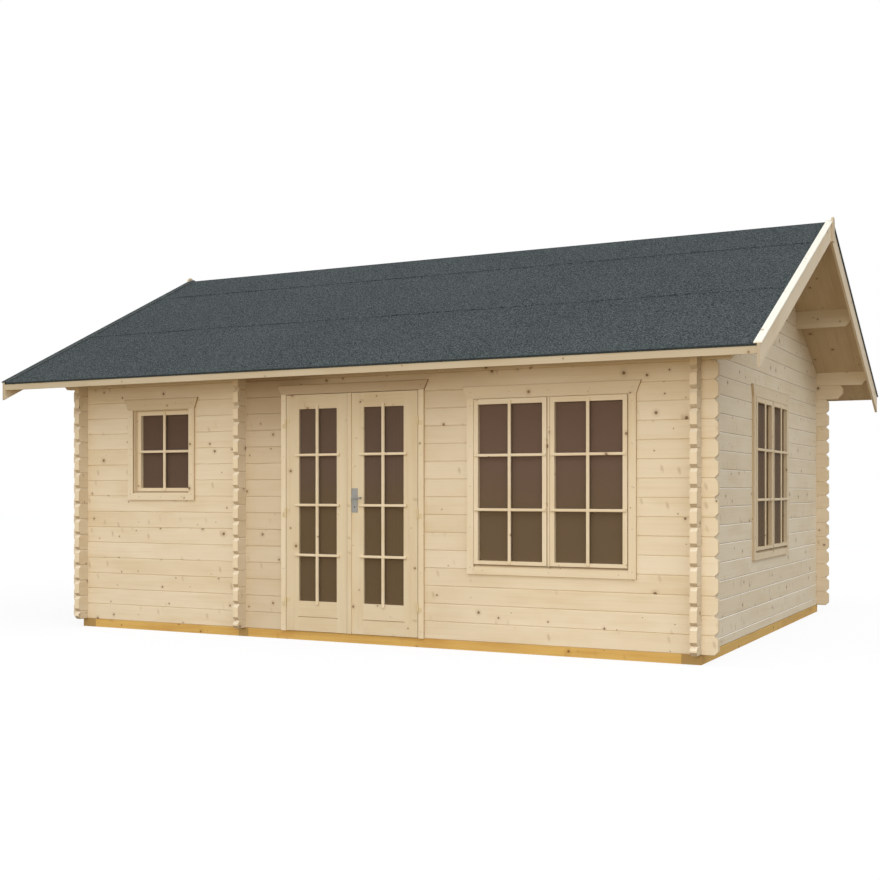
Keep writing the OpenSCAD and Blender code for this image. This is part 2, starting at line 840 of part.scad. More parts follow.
module leaf_glass(g0, g1) {
    glass_y = leaf_face + (leaf_t - glass_t) / 2;
    color(glass_tint) block(
        [g0 + pane_gap, glass_y, leaf_bottom + bottom_rail_h + pane_gap],
        [g1 - pane_gap, glass_y + glass_t, leaf_top - top_rail_h - pane_gap]);
}

module left_door_leaf() {
    color(pale_pine) leaf(left_leaf_x, meeting_x, left_leaf_x + stile_w, meeting_x - left_meeting_w);
}

module left_door_glass() {
    leaf_glass(left_leaf_x + stile_w, meeting_x - left_meeting_w);
}

// The strip stays on the right leaf's own face, so that either leaf opens alone
module meeting_strip() {
    color(pale_pine) block([lock_edge_x, leaf_face - meeting_strip_t, leaf_bottom],
        [lock_edge_x + meeting_strip_w, leaf_face, leaf_top]);
}

module right_door_leaf() {
    color(pale_pine) difference() {
        leaf(lock_edge_x, right_leaf_x, lock_edge_x + right_meeting_w, right_leaf_x - stile_w);
        translate([handle_x, leaf_face - leaf_t, handle_height]) rotate([-90, 0, 0])
            cylinder(r = spindle_r + spindle_gap, h = 3 * leaf_t);
    }
}

module right_door_glass() {
    leaf_glass(lock_edge_x + right_meeting_w, right_leaf_x - stile_w);
}

// Upper half of a hinge: a plate on the leaf and a barrel over the pin; side is 1 where the leaf lies at +X
module leaf_hinge(x, side) {
    for (z = hinge_heights) translate([x, hinge_y, leaf_bottom + z]) difference() {
        union() {
            translate([0, 0, seam]) cylinder(r = barrel_r, h = barrel_h - seam);
            block([side > 0 ? 0 : -hinge_plate_w, barrel_stand - hinge_plate_t, seam],
                [side > 0 ? hinge_plate_w : 0, barrel_stand, barrel_h]);
        }
        translate([0, 0, -seam]) cylinder(r = hinge_pin_r + pin_gap, h = barrel_h + 2 * seam);
    }
}

module left_leaf_hinges() {
    color(steel) leaf_hinge(left_hinge_x, 1);
}

module right_leaf_hinges() {
    color(steel) leaf_hinge(right_hinge_x, -1);
}

// Lower half of a hinge: a plate on the casing, a barrel and the pin that stands in the upper half
module frame_hinge(x, side) {
    for (z = hinge_heights) translate([x, hinge_y, leaf_bottom + z]) {
        translate([0, 0, -barrel_h]) cylinder(r = barrel_r, h = barrel_h);
        cylinder(r = hinge_pin_r, h = barrel_h);
        block([side > 0 ? 0 : -hinge_plate_w, barrel_stand - hinge_plate_t, -barrel_h],
            [side > 0 ? hinge_plate_w : 0, barrel_stand, 0]);
    }
}

module frame_hinges() {
    color(steel) {
        frame_hinge(left_hinge_x, -1);
        frame_hinge(right_hinge_x, 1);
    }
}

// A plate on each side of the right leaf, bored for the spindle
module lock_plates() {
    color(steel) for (y = [leaf_face - plate_t, leaf_back]) difference() {
        block([handle_x - plate_w / 2, y, handle_height - plate_drop],
            [handle_x + plate_w / 2, y + plate_t, handle_height - plate_drop + plate_h]);
        translate([handle_x, y - plate_t, handle_height]) rotate([-90, 0, 0])
            cylinder(r = spindle_r + pin_gap, h = 3 * plate_t);
    }
}

// Spindle through the leaf with a lever on each side
module door_handle() {
    color(steel) translate([handle_x, 0, handle_height]) {
        translate([0, leaf_face - plate_t - lever_stand, 0]) rotate([-90, 0, 0])
            cylinder(r = spindle_r, h = leaf_t + 2 * plate_t + 2 * lever_stand);
        for (y = [leaf_face - plate_t - lever_stand + lever_r, leaf_back + plate_t + lever_stand - lever_r])
            translate([0, y, 0]) rotate([0, 90, 0]) cylinder(r = lever_r, h = lever_l);
    }
}

front_bearers();
back_bearers();
cross_bearers();
floor_joists();
main_floor();
store_floor();
front_wall_left();
front_wall_right();
front_wall_head();
back_wall();
left_gable();
right_gable();
partition_wall();
ridge_purlin();
front_purlin();
back_purlin();
front_roof_deck();
back_roof_deck();
front_felt();
back_felt();
ridge_felt();
front_fascia();
back_fascia();
left_bargeboards();
right_bargeboards();
left_verge_laths();
right_verge_laths();
apex_boards();
door_frame();
door_casing();
left_door_leaf();
left_door_glass();
meeting_strip();
right_door_leaf();
right_door_glass();
left_leaf_hinges();
right_leaf_hinges();
frame_hinges();
lock_plates();
door_handle();
front_window();
front_window_glass();
front_window_casing();
small_window();
small_window_glass();
small_window_casing();
side_window();
side_window_glass();
side_window_casing();
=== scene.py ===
"""Looks of a log summer cottage: bare spruce logs, a grit felt roof, a glazed double door, three windows.

The sections follow the cottage as it is put up, from the bearers on the ground to the door furniture, and
end with the studio. Places are in metres in the cottage's frame: +X along the ridge, -Y to the front, +Z up.
"""

import math

import bpy
import numpy as np
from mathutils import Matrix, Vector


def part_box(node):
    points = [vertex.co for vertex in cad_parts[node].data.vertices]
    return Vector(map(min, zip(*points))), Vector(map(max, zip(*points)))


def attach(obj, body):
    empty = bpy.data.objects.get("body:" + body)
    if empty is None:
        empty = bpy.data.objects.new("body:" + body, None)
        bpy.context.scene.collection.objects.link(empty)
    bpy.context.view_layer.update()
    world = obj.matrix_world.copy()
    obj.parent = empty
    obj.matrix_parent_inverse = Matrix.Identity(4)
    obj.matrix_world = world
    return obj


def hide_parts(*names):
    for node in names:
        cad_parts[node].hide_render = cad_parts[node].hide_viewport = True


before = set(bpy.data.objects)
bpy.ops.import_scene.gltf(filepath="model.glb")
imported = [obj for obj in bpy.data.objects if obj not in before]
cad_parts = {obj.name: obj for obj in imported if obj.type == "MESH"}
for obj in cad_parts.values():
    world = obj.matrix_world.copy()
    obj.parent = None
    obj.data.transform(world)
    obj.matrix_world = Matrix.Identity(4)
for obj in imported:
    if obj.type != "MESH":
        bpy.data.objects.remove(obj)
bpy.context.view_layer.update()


# Bearers and joists
# Squared pine timbers, pressure impregnated to a honey yellow, lie flat on the ground. The long ones are
# cut between the cross bearers, whose sawn ends show at the corners and under the inner wall.
class Pigment:
    """A socket in a material's nodes. Arithmetic on it adds Math nodes, and node() adds any other node."""

    def __init__(self, tree, socket):
        self.tree = tree
        self.socket = socket

    def node(self, kind, settings=None, inputs=None, output=0):
        """Adds a node: its settings first, then a value or a link for each input; gives one output."""
        made = self.tree.nodes.new(kind)
        for name, value in (settings or {}).items():
            setattr(made, name, value)
        for key, value in (inputs or {}).items():
            if isinstance(value, Pigment):
                self.tree.links.new(value.socket, made.inputs[key])
            else:
                made.inputs[key].default_value = value
        return Pigment(self.tree, made.outputs[output]) if made.outputs else None

    def also(self, output):
        """Another output of the node that this socket belongs to."""
        return Pigment(self.tree, self.socket.node.outputs[output])

    def math(self, operation, *terms):
        return self.node("ShaderNodeMath", {"operation": operation}, dict(enumerate(terms)))

    def __add__(self, other):
        return self.math("ADD", self, other)

    def __sub__(self, other):
        return self.math("SUBTRACT", self, other)

    def __rsub__(self, other):
        return self.math("SUBTRACT", other, self)

    def __mul__(self, other):
        return self.math("MULTIPLY", self, other)

    def __truediv__(self, other):
        return self.math("DIVIDE", self, other)

    def __lt__(self, other):
        return self.math("LESS_THAN", self, other)

    def __gt__(self, other):
        return self.math("GREATER_THAN", self, other)

    def __abs__(self):
        return self.math("ABSOLUTE", self)

    def __floor__(self):
        return self.math("FLOOR", self)

    __radd__ = __add__
    __rmul__ = __mul__

    def parts(self):
        """The three numbers of a vector or a colour."""
        first = self.node("ShaderNodeSeparateXYZ", {}, {0: self})
        return first, first.also(1), first.also(2)

    def joined(self, x, y, z=0.0):
        return self.node("ShaderNodeCombineXYZ", {}, {0: x, 1: y, 2: z})

    def ease(self, start, end):
        """0 where this value is at start, 1 where it is at end, with a smooth step between them."""
        return self.node("ShaderNodeMapRange", {"interpolation_type": "SMOOTHSTEP"},
                         {0: self, 1: start, 2: end})

    def blend(self, share, colour, other):
        """A share of the other colour in the first one."""
        return self.node("ShaderNodeMix", {"data_type": "RGBA"}, {0: share, 6: colour, 7: other}, 2)

    def under(self, share, colour):
        """This colour with a share of another colour laid over it."""
        return self.blend(share, self, colour)

    def noise(self, scale, detail=2.0, dimensions="3D"):
        """Cloudy noise from 0 to 1 about 0.5, with this vector as its place."""
        return self.node("ShaderNodeTexNoise", {"noise_dimensions": dimensions},
                         {"Vector": self, "Scale": scale, "Detail": detail})

    def cells(self, scale, dimensions="2D"):
        """Distance to the nearest of scattered points, one to a cell, with this vector as its place."""
        return self.node("ShaderNodeTexVoronoi", {"voronoi_dimensions": dimensions},
                         {"Vector": self, "Scale": scale})

    def chance(self):
        """A random number from 0 to 1 for each whole value of this socket."""
        return self.node("ShaderNodeTexWhiteNoise", {"noise_dimensions": "1D"}, {"W": self})

    def bump(self, depth, strength=1.0):
        """A normal that treats this value as a height of that many metres."""
        return self.node("ShaderNodeBump", {}, {"Strength": strength, "Distance": depth, "Height": self})


def tint(red, green, blue):
    """A colour as it is written for a screen, from 0 to 255, in the linear numbers that a shader takes."""
    screen = np.array([red, green, blue]) / 255
    linear = np.where(screen <= 0.04045, screen / 12.92, ((screen + 0.055) / 1.055) ** 2.4)
    return (*linear.tolist(), 1.0)


def coat(name, paint):
    """A material: paint(place, facing) gives the inputs of its shader by their names."""
    material = bpy.data.materials.new(name)
    material.use_nodes = True
    tree = material.node_tree
    tree.nodes.clear()
    spot = tree.nodes.new("ShaderNodeTexCoord")
    place = Pigment(tree, spot.outputs["Object"])
    facing = Pigment(tree, spot.outputs["Normal"])
    shader = place.node("ShaderNodeBsdfPrincipled", {}, paint(place, facing))
    place.node("ShaderNodeOutputMaterial", {}, {"Surface": shader})
    return material


def planed(run, pale, deep, knot, end, contrast=1.0, knotty=0.62, branchy=0.45):
    """Planed softwood. run(place, facing) gives the way along the grain, the way across it, the number of the
    board, how far a face looks along the grain, and the two ways over the board's sawn end. Knots are spots
    round scattered points, and branches cut lengthways are faint dashes across the board. The grain is noise
    drawn out along the board, which bends round the knots. Sawn ends show rings about a pith.
    """
    knots_per_metre = 4.9
    smallest_knot, knot_range = 0.0034, 0.0095
    dashes_along, dashes_across = 7.0, 3.4
    ring_width, end_ring = 0.012, 0.007
    bark = tuple((np.array(deep) * 0.62 + np.array(knot) * 0.38).tolist())

    def paint(place, facing):
        along, across, board, end_on, (level, rise) = run(place.parts(), facing.parts())
        board = place.math("ADD", board, 0.0)
        luck = board.chance()
        second = (board + 37.0).chance()
        s = along + luck * 9.0
        a = across + second * 5.0
        board_face = place.joined(s, a)
        knots = board_face.cells(knots_per_metre)
        size, pick, _ = knots.also("Color").parts()
        there = pick < knotty
        radius = smallest_knot + size * size * knot_range
        away = knots / knots_per_metre + (board_face.noise(130.0) - 0.5) * 0.004
        spot = away.ease(radius * 1.2, radius * 0.75) * there
        halo = away.ease(radius * 3.6, radius * 0.8) * there
        lengthways = place.joined(s * dashes_along + a * 1.5, a * dashes_across).cells(1.0)
        _, branch_pick, _ = lengthways.also("Color").parts()
        branch = lengthways.ease(0.13, 0.02) * branch_pick.ease(branchy, 0.0)
        drift = place.joined(s * 1.1, a * 5.0, luck * 8.0).noise(1.0)
        bent = a + halo * 0.008 + (drift - 0.5) * 0.05
        streak = place.joined(s * 1.3, bent * 48.0, luck * 8.0).noise(1.0, 3.0)
        fine = place.joined(s * 5.0, bent * 300.0, luck * 8.0).noise(1.0)
        rings = place.math("SINE", bent * (2 * math.pi / ring_width)) * 0.5 + 0.5
        patch = place.joined(s * 1.8, a * 5.0, second * 8.0).noise(1.0, 3.0)
        grain = streak.ease(0.42, 0.82) * 0.26 + rings * 0.07 + fine * 0.12
        tone = grain + luck * 0.24 + patch.ease(0.4, 0.75) * 0.34
        face = place.blend(tone * contrast, pale, deep)
        face = face.under(branch * 0.55, bark).under(halo * size * 0.42, bark).under(spot * 0.86, knot)
        sideways = level + luck * 0.06 - 0.03
        down = rise + second * 0.05 + 0.02
        radius_end = place.math("SQRT", sideways * sideways + down * down)
        arcs = place.math("SINE", radius_end * (2 * math.pi / end_ring)) * 0.5 + 0.5
        sawn = place.blend(arcs * 0.16 + fine * 0.14, end, deep)
        colour = face.under(abs(end_on).ease(0.55, 0.85), sawn)
        height = streak * 0.5 + rings * 0.2 + fine * 0.3 - spot * 0.6
        return {"Base Color": colour, "Roughness": 0.74 - fine * 0.2, "Specular IOR Level": 0.2,
                "Normal": height.bump(0.0006, 0.5)}

    return paint


def wood(name, run, **colours):
    return coat(name, planed(run, **colours))


def marked(paint, where, colour):
    """The same finish with another colour laid over it, by the share that where(place, facing) gives."""
    def over(place, facing):
        inputs = paint(place, facing)
        share = where(place.parts(), facing.parts())
        return dict(inputs, **{"Base Color": inputs["Base Color"].under(share, colour)})
    return over


def along_x(place, facing):
    """Timbers that run along the cottage."""
    return place[0], place[2] + place[1], 3.0, facing[0], (place[1], place[2])


def along_y(place, facing):
    """Timbers that run across the cottage, numbered along it."""
    return place[1], place[2] + place[0], math.floor(place[0] * 2.0), facing[1], (place[0], place[2])


def dress(material, *nodes):
    """Gives nodes of the frame this material in place of the plain one that they came with."""
    for name in nodes:
        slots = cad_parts[name].data.materials
        slots.clear()
        slots.append(material)


honey = dict(pale=tint(224, 188, 108), deep=tint(192, 146, 74), knot=tint(122, 76, 34),
             end=tint(166, 136, 84), contrast=1.4)
dress(wood("impregnated_long_bearer", along_x, **honey), "front_bearers", "back_bearers")
dress(wood("impregnated_cross_bearer", along_y, **honey), "cross_bearers", "floor_joists")


# Floors
# Tongued spruce boards are nailed across the joists of each room. The main floor's boards pass through the
# inner doorway, and the first of them lies behind the door frame.
def bar_mesh(profile, starts, ends, side, up):
    """Straight bars: the profile's points (across, out) stand on side and up about each line from its start
    to its end. A vertex is end point + across * side + out * up. Each bar is closed by its two end faces. The
    profile is turned round where side, up and the line are left-handed, so that faces look outwards.
    """
    profile = np.asarray(profile, float)
    if np.dot(np.cross(side, up), ends[0] - starts[0]) < 0:
        profile = profile[::-1]
    across = profile[None, :, :1] * np.broadcast_to(side, starts.shape)[:, None, :]
    out = profile[None, :, 1:] * np.broadcast_to(up, starts.shape)[:, None, :]
    points = np.stack([starts[:, None, :] + across + out, ends[:, None, :] + across + out], axis=1)
    count, corners = len(starts), len(profile)
    base = np.arange(count)[:, None] * 2 * corners
    ring = np.arange(corners)
    turn = np.roll(ring, -1)
    sides = np.stack([ring, turn, turn + corners, ring + corners], axis=1)
    walls = (base[:, :, None] + sides[None]).reshape(-1, 4)
    low = base + ring[::-1]
    high = base + corners + ring
    return points.reshape(-1, 3), walls.tolist() + low.tolist() + high.tolist()


def fit(name, mesh_parts, material, body, slot, *stands_for):
    """Makes a piece from points and faces, and says which body carries it and which nodes it stands for."""
    points, faces = mesh_parts
    mesh = bpy.data.meshes.new(name)
    mesh.from_pydata(points.tolist(), [], faces)
    mesh.materials.append(material)
    piece = bpy.data.objects.new(name, mesh)
    bpy.context.scene.collection.objects.link(piece)
    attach(piece, body)
    if stands_for:
        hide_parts(*stands_for)


def board_profile(width, thickness, chamfer):
    """A board's end: its upper edges are square and meet, its lower or outer ones are chamfered."""
    half = width / 2
    return [(-half, thickness), (-half, chamfer), (-half + chamfer, 0),
            (half - chamfer, 0), (half, chamfer), (half, thickness)]


cream = dict(pale=tint(231, 216, 187), deep=tint(212, 189, 148), knot=tint(112, 82, 54),
             end=tint(229, 210, 175))
floor_board = 0.096
board_gap = 0.0008
board_chamfer = 0.002
frame_clear = 0.0004
wall_clear = 0.006
doorway_half = 0.394
main_low, main_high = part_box("main_floor")
inner_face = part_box("partition_wall")[1][0]


def floor_boards(low, high, starts_x):
    """Boards side by side from front to back, face up: starts_x(y) is where the board at y begins."""
    count = round((high[1] - low[1]) / floor_board)
    width = (high[1] - low[1]) / count
    middle = low[1] + width * (np.arange(count) + 0.5)
    begin = np.stack([starts_x(middle), middle, np.full(count, high[2])], axis=1)
    finish = np.stack([np.full(count, high[0]), middle, np.full(count, high[2])], axis=1)
    profile = board_profile(width - board_gap, high[2] - low[2], board_chamfer)
    return bar_mesh(profile, begin, finish, (0, 1, 0), (0, 0, -1))


def floor_run(place, facing):
    """Floor boards along the cottage, numbered from front to back."""
    number = math.floor(place[1] / floor_board)
    return place[0], place[1] + place[2], number, facing[0], (place[1], place[2])


floor_wood = wood("floor_spruce", floor_run, **cream)
frame_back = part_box("door_frame")[1][1] + frame_clear
main_start = inner_face + wall_clear
fit("main_floor_boards",
    floor_boards((main_low[0], frame_back, main_low[2]), main_high,
                 lambda y: np.where(abs(y) < doorway_half, main_low[0], main_start)),
    floor_wood, "cottage", "board", "main_floor")
store_low, store_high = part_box("store_floor")
fit("store_floor_boards", floor_boards(store_low, store_high, lambda y: np.full(len(y), store_low[0])),
    floor_wood, "cottage", "board", "store_floor")


# Log walls and purlins
# Planed spruce logs, 50 mm thick and tongued, are notched into each other at the corners, where their ends
# run on. The cross walls lie half a log out of step with the long ones. The wood is bare and has small knots.
log_pitch = 0.135
long_wall_y = 2.125
cross_wall_x = 2.75
corner_y = 2.1
into_casing = 0.04
wall_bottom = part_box("front_bearers")[1][2]
door_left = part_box("door_casing")[0][0] + into_casing
window_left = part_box("front_window_casing")[0][0] + into_casing


def long_log(place, facing):
    """Logs along the cottage, numbered by their course."""
    over = place[2] - wall_bottom
    course = math.floor(over / log_pitch)
    side = place[1] > 0.0
    return (place[0], place[2] + place[1], course + side * 50.0, facing[0],
            (abs(place[1]) - long_wall_y, over - course * log_pitch))


def cross_log(place, facing):
    """Logs across the cottage, numbered by their course, half a log out of step."""
    over = place[2] - wall_bottom + log_pitch / 2
    course = math.floor(over / log_pitch)
    wall = math.floor(place[0] + 5.0)
    return (place[1], place[2] + place[0], course + wall * 50.0, facing[1],
            (abs(place[0]) - cross_wall_x, over - course * log_pitch))


def painted_shade_by_door(place, facing):
    """Painted shade on the front logs right of the inner wall: darker at their left, most of all near the
    eave, then paler.
    """
    x, y, z = place
    near_eave = z.ease(1.3, 2.1)
    by_door = x.ease(door_left + 0.6, door_left) * (near_eave * 0.30 + 0.18)
    by_window = x.ease(window_left + 0.5, window_left - 0.2) * (near_eave * 0.14 + 0.10)
    return (by_door + by_window) * (x > inner_face) * (y < 0.0)


def upper_chamfer_light(place, facing):
    """Painted light on chamfers that look up: pale along the joints between the corners, less so on log ends.
    """
    between_corners = (abs(place[1]) < corner_y) * abs(facing[0]).ease(0.3, 0.6)
    return facing[2].ease(0.3, 0.6) * (between_corners * 0.66 + 0.12)


def lower_chamfer_shade(place, facing):
    """Painted shade on chamfers that look down, a little darker."""
    return facing[2].ease(-0.3, -0.6) * 0.4


def end_side_shade(place, facing):
    """Painted shade on the sides of the log ends past the corners, a little browner."""
    return (abs(place[1]) > corner_y) * abs(facing[0]).ease(0.6, 0.9) * 0.16


greyer = dict(cream, pale=tint(233, 221, 195), deep=tint(214, 194, 157))
# Purlin colours, darker than the logs': painted shade under the roof.
purlin_painted_shade = dict(cream, pale=tint(216, 199, 168), deep=tint(197, 173, 133))
# The brown of painted shade, laid on the front logs by the door and on chamfers that look down.
painted_shade_brown = tint(150, 124, 90)
# Painted shade on part of the front wall.
long_wall = marked(planed(long_log, **cream), painted_shade_by_door, painted_shade_brown)
dress(coat("long_wall_spruce", long_wall),
      "front_wall_left", "front_wall_right", "front_wall_head", "back_wall")
dress(wood("purlin_spruce", long_log, **purlin_painted_shade), "ridge_purlin", "front_purlin", "back_purlin")
# Painted light on the chamfers that look up.
cross_wall = marked(planed(cross_log, **greyer), upper_chamfer_light, tint(255, 250, 238))
# Painted shade on the chamfers that look down.
cross_wall = marked(cross_wall, lower_chamfer_shade, painted_shade_brown)
# Painted shade on the sides of the log ends past the corners.
cross_wall = marked(cross_wall, end_side_shade, tint(150, 112, 68))
dress(coat("cross_wall_spruce", cross_wall), "left_gable", "right_gable", "partition_wall")


# Roof boards
# Tongued spruce boards run from eave to ridge over the purlins, nailed side by side, with their chamfered
# faces down. They show under the eaves and verges and from inside.
roof_board = 0.0955
roof_gap = 0.0004
ridge_half_gap = 0.0002
slope = math.radians(26)
deck_thickness = 0.018
deck_low, deck_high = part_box("front_roof_deck")
boards = round((deck_high[0] - deck_low[0]) / roof_board)
board_step = (deck_high[0] - deck_low[0]) / boards


def up_slope(place, facing):
    """Boards that run up either slope, numbered along the cottage."""
    sine, cosine = math.sin(slope), math.cos(slope)
    back = place[1] > 0.0
    along = place[2] * sine - abs(place[1]) * cosine
    out = abs(place[1]) * sine + place[2] * cosine
    number = math.floor(place[0] / board_step) + back * 90.0
    return along, out + place[0], number, abs(facing[1]), (place[0], out)


def roof_boards(side):
    """Boards of the front (side -1) or back (side 1) slope, cut plumb at the eave and the ridge."""
    middle = deck_low[0] + board_step * (np.arange(boards) + 0.5)
    plumb = 1 / math.cos(slope)
    eave_y = -deck_low[1]
    top = deck_high[2] - deck_thickness * plumb
    eave = np.stack([middle, np.full(boards, side * eave_y), np.full(boards, deck_low[2])], axis=1)
    ridge = np.stack([middle, np.full(boards, side * ridge_half_gap), np.full(boards, top)], axis=1)
    profile = board_profile(board_step - roof_gap, deck_thickness, board_chamfer)
    return bar_mesh(profile, eave, ridge, (-side, 0, 0), (0, 0, plumb))


# Roof board colours, darker than the other wood: painted shade on the undersides seen under the eaves and
# verges.
soffit_painted_shade = dict(pale=tint(205, 185, 152), deep=tint(185, 159, 122), knot=tint(112, 80, 52),
              end=tint(206, 180, 140))
roof_wood = wood("roof_spruce", up_slope, **soffit_painted_shade)
fit("front_roof_boards", roof_boards(-1), roof_wood, "cottage", "board", "front_roof_deck")
fit("back_roof_boards", roof_boards(1), roof_wood, "cottage", "board", "back_roof_deck")


# Roofing felt
# Bitumen felt with a blue-grey slate grit is laid in lapped courses from the eave up, with a course over
# the ridge. A little bitumen has come out in places along the lower edge of each lap.
lap_lines = (1.5602, 0.5373)
bleed = 0.016
felt_edge = -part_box("front_felt")[0][1]


def grit(place, facing):
    """Slate grit: grains of random grey, in clumps and clouds, with dark bitumen below the laps."""
    x, y, _ = place.parts()
    out = abs(y)
    grain = place.cells(210.0, "3D")
    shade, _, spread = grain.also("Color").parts()
    clump = place.noise(85.0, 3.0)
    cloud = place.noise(1.1, 3.0)
    tone = shade * 0.4 + clump.ease(0.30, 0.70) * 1.15 + cloud * 0.3 - 0.45
    colour = place.blend(tone, tint(28, 35, 36), tint(87, 94, 93))
    colour = colour.under(spread.ease(0.90, 0.96) * 0.8, tint(120, 126, 123))
    colour = colour.under(out.ease(felt_edge - 0.010, felt_edge - 0.004) * 0.8, tint(40, 45, 42))
    ragged = out + (place.noise(30.0) - 0.5) * 0.010
    come_out = place.joined(x * 2.2, out).noise(1.0, 3.0).ease(0.42, 0.66)
    for line in lap_lines:
        edge = ragged.ease(line - 0.002, line + 0.002) * ragged.ease(line + bleed, line + 0.005)
        colour = colour.under(edge * (come_out * 0.42 + 0.12), tint(24, 27, 29))
    height = grain.ease(0.0, 0.8) * -1.0 + clump * 0.6
    return {"Base Color": colour, "Roughness": 0.92, "Specular IOR Level": 0.15,
            "Normal": height.bump(0.0015, 0.7)}


dress(coat("slate_grit_felt", grit), "front_felt", "back_felt", "ridge_felt")


# Boards round the roof
# Planed spruce, all nailed: a fascia along the front eave, a strip along the back one, bargeboards up the
# verges with a lath on top, and a round-headed board over the joint at each ridge end. The felt is turned
# over the laths, except on the front slope at the window gable, where the lath is bare.
def upright(place, facing):
    """Boards that stand upright."""
    return place[2], place[0] + place[1], 11.0, facing[2], (place[0], place[1])


trim = dict(pale=tint(228, 212, 181), deep=tint(212, 189, 148), knot=tint(124, 92, 62),
            end=tint(218, 196, 158), branchy=0.12)
# Fascia colours, darker than the other trim: painted shade.
eave = dict(trim, pale=tint(196, 182, 154), deep=tint(180, 160, 124))
# The bargeboards' sawn ends are darker and greyer than the other trim's: painted shade.
verge = dict(trim, pale=tint(228, 213, 186), end=tint(178, 162, 136))
lath = dict(trim, pale=tint(245, 242, 226), deep=tint(238, 230, 208), knot=tint(184, 160, 124),
            end=tint(232, 218, 190))
# Apex board colours, darker than the other trim: painted shade.
apex = dict(trim, pale=tint(210, 194, 164), deep=tint(190, 166, 128))
# Felt on the laths, paler on the faces that look along the cottage: painted light on the lath sides.
felt_lit_sides = marked(grit, lambda place, facing: abs(facing[0]).ease(0.5, 0.9) * 0.6, tint(134, 138, 136))


def lath_under_felt(place, facing):
    """Bare wood on the front slope. On the back slope felt, paler with painted light where it is folded down
    the edge.
    """
    bare = planed(up_slope, **lath)(place, facing)
    felt_colour = felt_lit_sides(place, facing)["Base Color"]
    _, y, _ = place.parts()
    return dict(bare, **{"Base Color": bare["Base Color"].under(y > 0.0, felt_colour)})


dress(wood("fascia_spruce", along_x, **eave), "front_fascia", "back_fascia")
dress(wood("bargeboard_spruce", up_slope, **verge), "left_bargeboards", "right_bargeboards")
dress(coat("felted_lath", felt_lit_sides), "left_verge_laths")
dress(coat("half_felted_lath", lath_under_felt), "right_verge_laths")
dress(wood("apex_spruce", upright, **apex), "apex_boards")


# Windows
# Each opening has a spruce lining, casements with one pane each, and nailed casing boards with a slanted
# head. Bars are planted on the outer face of the sashes, with their ends over the stiles and rails.
casing_side = 0.056
head_slant = 0.036
window_head = 0.095
lining = 0.025
sash_stile = 0.034
sash_foot = 0.015
post = 0.027
upright_bar, level_bar = 0.025, 0.022
bar_depth = 0.013
bar_step = 0.0006
bar_ends = (0.027, 0.020, 0.024)
gable_bars_thinner = 0.004
row_spread = 1.042


def round_opening(node, side, head, flat, middle_post=0.0):
    """Boards round an opening: upright at both sides, over a width side, and at a post. Between these they
    are level, and so is the head, of that height. flat is the axis, X or Y, along which the wall runs.
    """
    low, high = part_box(node)
    middle = (low[flat] + high[flat]) / 2
    half = (high[flat] - low[flat]) / 2

    def run(place, facing):
        level, z = place[flat], place[2]
        out = abs(level - middle)
        below_head = z < high[2] - head
        up = place[0].math("MAXIMUM", out > half - side, out < middle_post / 2) * below_head
        along = level + (z - level) * up
        across = z + (level - z) * up + place[1 - flat]
        upper = z > (low[2] + high[2]) / 2
        board = up * ((level > middle) + 1.0) + (1 - below_head) * 7.0 + upper * (1 - up) * 4.0
        return along, across, board, facing[flat] * (1 - up) + facing[2] * up, (place[1 - flat], across)

    return run


def bar_profile(width, depth):
    """A glazing bar's end: a flat back, and a front rounded as a half superellipse of power 4."""
    angle = np.linspace(0, math.pi, 9)
    across = np.sign(np.cos(angle)) * abs(np.cos(angle)) ** 0.5 * width / 2
    return np.stack([across, abs(np.sin(angle)) ** 0.5 * depth], axis=1)


def gathered(*meshes):
    """Several sets of points and faces as one."""
    shifts = np.cumsum([0] + [len(points) for points, _ in meshes])
    faces = [[corner + int(shift) for corner in face]
             for (_, some), shift in zip(meshes, shifts) for face in some]
    return np.concatenate([points for points, _ in meshes]), faces


def pane_bars(glass, panes, between, columns, rows, face, flat, ends, depth=bar_depth):
    """Bars over the panes of one window or leaf, upright and level, on the plane of the sash's face. glass is
    the box round all the panes, between the wood between two panes, and ends how far the bars run on at the
    sides, the bottom and the top. With n rows of panes, level bar i lies at middle + height * row_spread *
    (i / n - 1/2), so that the end panes are a little lower than the others.
    """
    low, high = np.array(glass)
    width = (high[flat] - low[flat] - (panes - 1) * between) / panes
    outward = np.zeros(3)
    outward[1 - flat] = -1.0 if flat == 0 else 1.0
    level, up = np.eye(3)[flat], np.eye(3)[2]
    left = low[flat] + np.arange(panes) * (width + between)
    columns_at = (left[:, None] + width * np.arange(1, columns) / columns).ravel()
    rows_at = (low[2] + high[2]) / 2 + (high[2] - low[2]) * row_spread * (np.arange(1, rows) / rows - 0.5)
    on_face = abs(outward) * face
    lower = on_face + columns_at[:, None] * level + (low[2] - ends[1]) * up
    upper = on_face + columns_at[:, None] * level + (high[2] + ends[2]) * up
    grid_left, grid_z = np.meshgrid(left, rows_at, indexing="ij")
    begin = on_face + (grid_left.reshape(-1, 1) - ends[0]) * level + grid_z.reshape(-1, 1) * up
    finish = begin + (width + 2 * ends[0]) * level
    return gathered(bar_mesh(bar_profile(upright_bar, depth - bar_step), lower, upper, level, outward),
                    bar_mesh(bar_profile(level_bar, depth), begin, finish, up, outward))


def bars_run(flat):
    """Glazing bars: the grain is so fine and straight that both ways share it."""
    def run(place, facing):
        across = place[2] + place[flat] * 0.2
        return place[flat] + place[2] * 0.2, across, 5.0, facing[2] * 0.0, (place[flat], place[2])
    return run


